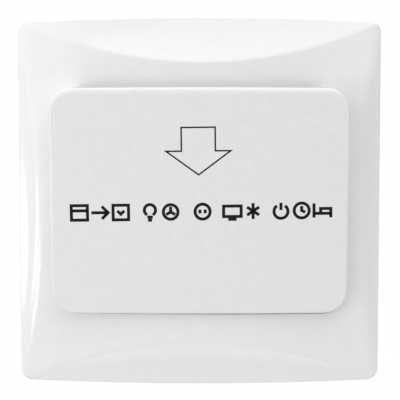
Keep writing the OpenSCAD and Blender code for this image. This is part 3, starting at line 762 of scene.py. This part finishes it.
# Print on the cover.
# Black ink put on with a silicone pad: an outline arrow that shows which way the card goes, and
# below it a row of plain signs for what the card turns on. The pad sat a little askew.
ink_colour = (0.008, 0.008, 0.0085)
ink_sheen = 0.12
ink_lift = 0.012 * mm
ink_depth = 0.03 * mm
ink_foot = ink_lift - ink_depth
print_turn = math.radians(0.65)
mitre_limit = 0.12
arrow_line = 0.36 * mm
arrow_middle = -0.12 * mm
shaft_half = 3.95 * mm
head_half = 7.55 * mm
shaft_top = 17.53 * mm
head_top = 12.0 * mm
arrow_point = 6.4 * mm
sign_size = 4.1 * mm
sign_pitch = 4.85 * mm
sign_line = 0.72 * mm
sign_row = -2.3 * mm


def stroke(mesh, points, width, closed=False):
    """A printed line of that width along the points, with mitred corners."""
    path = np.array(points, float)
    count = len(path)
    before = np.roll(path, 1, 0)
    after = np.roll(path, -1, 0)
    if not closed:
        before[0] = 2 * path[0] - path[1]
        after[-1] = 2 * path[-1] - path[-2]
    way_in = (path - before) / np.linalg.norm(path - before, axis=1, keepdims=True)
    way_out = (after - path) / np.linalg.norm(after - path, axis=1, keepdims=True)
    normal_in = np.stack([-way_in[:, 1], way_in[:, 0]], 1)
    normal_out = np.stack([-way_out[:, 1], way_out[:, 0]], 1)
    mitre = normal_in + normal_out
    mitre /= np.maximum((mitre * normal_in).sum(1, keepdims=True), mitre_limit)
    corners = []
    for side, lift in ((1, ink_lift), (-1, ink_lift), (-1, ink_foot), (1, ink_foot)):
        u, v = (path + mitre * side * width / 2).T
        turned_u = u * math.cos(print_turn) - v * math.sin(print_turn)
        turned_v = u * math.sin(print_turn) + v * math.cos(print_turn)
        corners.append([mesh.verts.new(upright(p)) for p in cover_place(turned_u, turned_v, lift)])
    last = count if closed else count - 1
    for i in range(last):
        j = (i + 1) % count
        for k in range(4):
            m = (k + 1) % 4
            mesh.faces.new((corners[k][i], corners[m][i], corners[m][j], corners[k][j]))
    if not closed:
        mesh.faces.new([corners[k][0] for k in range(4)])
        mesh.faces.new([corners[k][-1] for k in range(4)][::-1])


def bend(middle_v, r, start, end, count=20):
    """Points along an arc round a middle, in degrees anticlockwise from the right."""
    turns = np.radians(np.linspace(start, end, count))
    return [(r * math.cos(t), middle_v + r * math.sin(t)) for t in turns]


def line(*points):
    return points, False


def hoop(r, count=24):
    return bend(0, r, 0, 360 - 360 / count, count), True


def framed(w, h):
    return [(-w, -h), (w, -h), (w, h), (-w, h)], True


def spoke(angle):
    u = 0.4 * math.cos(math.radians(angle))
    v = 0.46 * math.sin(math.radians(angle))
    return line((-u, -v), (u, v))


# Each sign is drawn in a square of side 1 round its own middle, as lines that close or don't.
signs = {
    "card": [framed(0.46, 0.42), line((-0.46, 0.12), (0.46, 0.12))],
    "into": [line((-0.5, 0), (0.44, 0)), line((0.1, 0.36), (0.46, 0), (0.1, -0.36))],
    "slot": [framed(0.44, 0.42), line((-0.2, 0.1), (0, -0.1), (0.2, 0.1))],
    "lamp": [line(*bend(0.12, 0.32, -60, 240)), line((-0.16, -0.28), (0.16, -0.28)),
             line((-0.12, -0.46), (0.12, -0.46))],
    "fan": [hoop(0.42), line((0, 0), (0, 0.3)), line((0, 0), (0.26, -0.15)),
            line((0, 0), (-0.26, -0.15))],
    "socket": [hoop(0.43), line((-0.15, -0.1), (-0.15, 0.12)), line((0.15, -0.1), (0.15, 0.12))],
    "screen": [framed(0.5, 0.3), line((-0.24, -0.46), (0.24, -0.46))],
    "cool": [spoke(30), spoke(90), spoke(150)],
    "power": [line(*bend(-0.04, 0.4, 125, 415)), line((0, 0.04), (0, 0.46))],
    "clock": [hoop(0.43), line((0, 0.26), (0, 0), (0.2, -0.1))],
    "bed": [line((-0.48, 0.4), (-0.48, -0.42)), line((-0.48, -0.18), (0.48, -0.18)),
            line((0.48, -0.42), (0.48, 0.1), (-0.1, 0.1), (-0.1, -0.18))],
}
sign_groups = [
    (-23.3 * mm, ["card", "into", "slot"]),
    (-9.2 * mm, ["lamp", "fan"]),
    (0.7 * mm, ["socket"]),
    (10.1 * mm, ["screen", "cool"]),
    (23.9 * mm, ["power", "clock", "bed"]),
]

print_mesh = bmesh.new()
arrow = [
    (-shaft_half, shaft_top), (-shaft_half, head_top), (-head_half, head_top), (0, arrow_point),
    (head_half, head_top), (shaft_half, head_top), (shaft_half, shaft_top)]
stroke(print_mesh, [(u + arrow_middle, v) for u, v in arrow], arrow_line, closed=True)
for group_middle, names in sign_groups:
    for i, name in enumerate(names):
        middle = group_middle + (i - (len(names) - 1) / 2) * sign_pitch
        for points, closed in signs[name]:
            placed = [(middle + u * sign_size, sign_row + v * sign_size) for u, v in points]
            stroke(print_mesh, placed, sign_line, closed)
ink = moulded("pad_ink", ink_colour, rough=0.5, grain=4000.0, depth=2e-6, cloud=0.3)
shader_of(ink).inputs["Specular IOR Level"].default_value = ink_sheen
cover_print = finish_mesh("cover_print", print_mesh, ink, sharp=30)
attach(cover_print, "switch")

# Floor, light and camera.
# A pale studio floor some way below the object, fading out at its edge, and large soft boxes at
# both sides and above. A low strip lights the lower slope, and two small lamps at the left draw
# bright lines on the left one. The camera looks down a little with a long lens.
floor_drop = 0.32
floor_radius = 0.6
floor_sides = 96
floor_tones = ((0.86, 0.86, 0.86), (0.88, 0.88, 0.88))
floor_rough = 0.9
floor_grain = 20.0
fade_from = 0.2
fade_to = 0.55


def fading_floor(name):
    """Pale matt floor that thins out to nothing towards its edge."""
    mat = new_material(name)
    shader = shader_of(mat)
    shader.inputs["Roughness"].default_value = floor_rough
    paint(mat, noise(mat, floor_grain), *floor_tones)
    place = add_node(mat, "ShaderNodeTexCoord")
    reach = add_node(mat, "ShaderNodeVectorMath", operation="LENGTH")
    fade = add_node(mat, "ShaderNodeMapRange")
    fade.inputs["From Min"].default_value = fade_from
    fade.inputs["From Max"].default_value = fade_to
    clear = add_node(mat, "ShaderNodeBsdfTransparent")
    mix = add_node(mat, "ShaderNodeMixShader")
    links = mat.node_tree.links
    links.new(place.outputs["Object"], reach.inputs[0])
    links.new(reach.outputs["Value"], fade.inputs["Value"])
    links.new(fade.outputs["Result"], mix.inputs["Fac"])
    links.new(shader.outputs["BSDF"], mix.inputs[1])
    links.new(clear.outputs["BSDF"], mix.inputs[2])
    links.new(mix.outputs["Shader"], mat.node_tree.nodes["Material Output"].inputs["Surface"])
    return mat


floor_mesh = bmesh.new()
bmesh.ops.create_circle(floor_mesh, cap_ends=True, segments=floor_sides, radius=floor_radius)
floor = finish_mesh("floor", floor_mesh, fading_floor("pale_floor"), sharp=30)
floor.location = (0, 0, -floor_drop)

world_level = 0.48
backdrop = (1.0, 1.0, 1.0)


def studio_world(level):
    """White where it is looked at or mirrored, and a dimmer even light on the object."""
    world = bpy.data.worlds.new("studio")
    bpy.context.scene.world = world
    world.use_nodes = True
    links = world.node_tree.links
    ground = world.node_tree.nodes["Background"]
    ground.inputs["Color"].default_value = (*backdrop, 1)
    path = add_node(world, "ShaderNodeLightPath")
    seen = add_node(world, "ShaderNodeMath", operation="MAXIMUM")
    seen_through = add_node(world, "ShaderNodeMath", operation="MAXIMUM")
    strength = add_node(world, "ShaderNodeMapRange")
    strength.inputs["To Min"].default_value = level
    strength.inputs["To Max"].default_value = 1.0
    links.new(path.outputs["Is Camera Ray"], seen.inputs[0])
    links.new(path.outputs["Is Glossy Ray"], seen.inputs[1])
    links.new(seen.outputs["Value"], seen_through.inputs[0])
    links.new(path.outputs["Is Transmission Ray"], seen_through.inputs[1])
    links.new(seen_through.outputs["Value"], strength.inputs["Value"])
    links.new(strength.outputs["Result"], ground.inputs["Strength"])


def around(left, rise, far):
    """A place at that many degrees to the left of the front and above it, far metres away."""
    flat = far * math.cos(math.radians(rise))
    turn = math.radians(left)
    return -flat * math.sin(turn), -flat * math.cos(turn), far * math.sin(math.radians(rise))


def soft_box(name, place, size, power, shape):
    """A lamp of that size in metres that faces the object."""
    lamp = bpy.data.lights.new(name, "AREA")
    lamp.shape = shape
    lamp.size, lamp.size_y = size
    lamp.energy = power
    box = bpy.data.objects.new(name, lamp)
    box.location = place
    box.rotation_euler = (-Vector(place)).to_track_quat("-Z", "Y").to_euler()
    bpy.context.scene.collection.objects.link(box)


# Each lamp's degrees to the left and up, distance, width and height, power in watts and shape.
lamps = {
    "upper_left_box": (60, 75, 0.45, (0.4, 0.4), 0.14, "RECTANGLE"),
    "far_left_box": (85, 45, 0.45, (0.4, 0.4), 0.43, "RECTANGLE"),
    "left_box": (60, 15, 0.45, (0.4, 0.4), 0.19, "RECTANGLE"),
    "left_front_box": (40, 15, 0.45, (0.4, 0.4), 0.28, "RECTANGLE"),
    "upper_right_box": (-60, 75, 1.0, (0.9, 0.9), 2.85, "RECTANGLE"),
    "right_front_box": (-25, 45, 1.0, (0.9, 0.9), 2.95, "RECTANGLE"),
    "top_box": (-20, 86, 0.6, (0.4, 0.2), 0.18, "RECTANGLE"),
    "low_strip": (0, -57, 0.34, (0.5, 0.08), 0.12, "ELLIPSE"),
    "left_lamp": (55, -7.2, 0.7, (0.25, 0.1), 0.34, "ELLIPSE"),
    "left_low_lamp": (36, -13, 0.7, (0.22, 0.12), 0.24, "ELLIPSE"),
}
studio_world(world_level)
for name, (left, rise, far, size, power, shape) in lamps.items():
    soft_box(name, around(left, rise, far), size, power, shape)

camera_rise = math.radians(4.95)
camera_distance = 0.35
picture_width = 400
focal_pixels = 1445
sensor_width = 36.0
aim = Vector((0.12 * mm, 0.0, 0.08 * mm))
camera_data = bpy.data.cameras.new("camera")
camera_data.sensor_width = sensor_width
camera_data.lens = focal_pixels / picture_width * sensor_width
camera = bpy.data.objects.new("camera", camera_data)
view_way = Vector((0, -math.cos(camera_rise), math.sin(camera_rise)))
camera.location = aim + camera_distance * view_way
camera.rotation_euler = (aim - camera.location).to_track_quat("-Z", "Y").to_euler()
bpy.context.scene.collection.objects.link(camera)
bpy.context.scene.camera = camera
bpy.context.scene.view_settings.view_transform = "Standard"
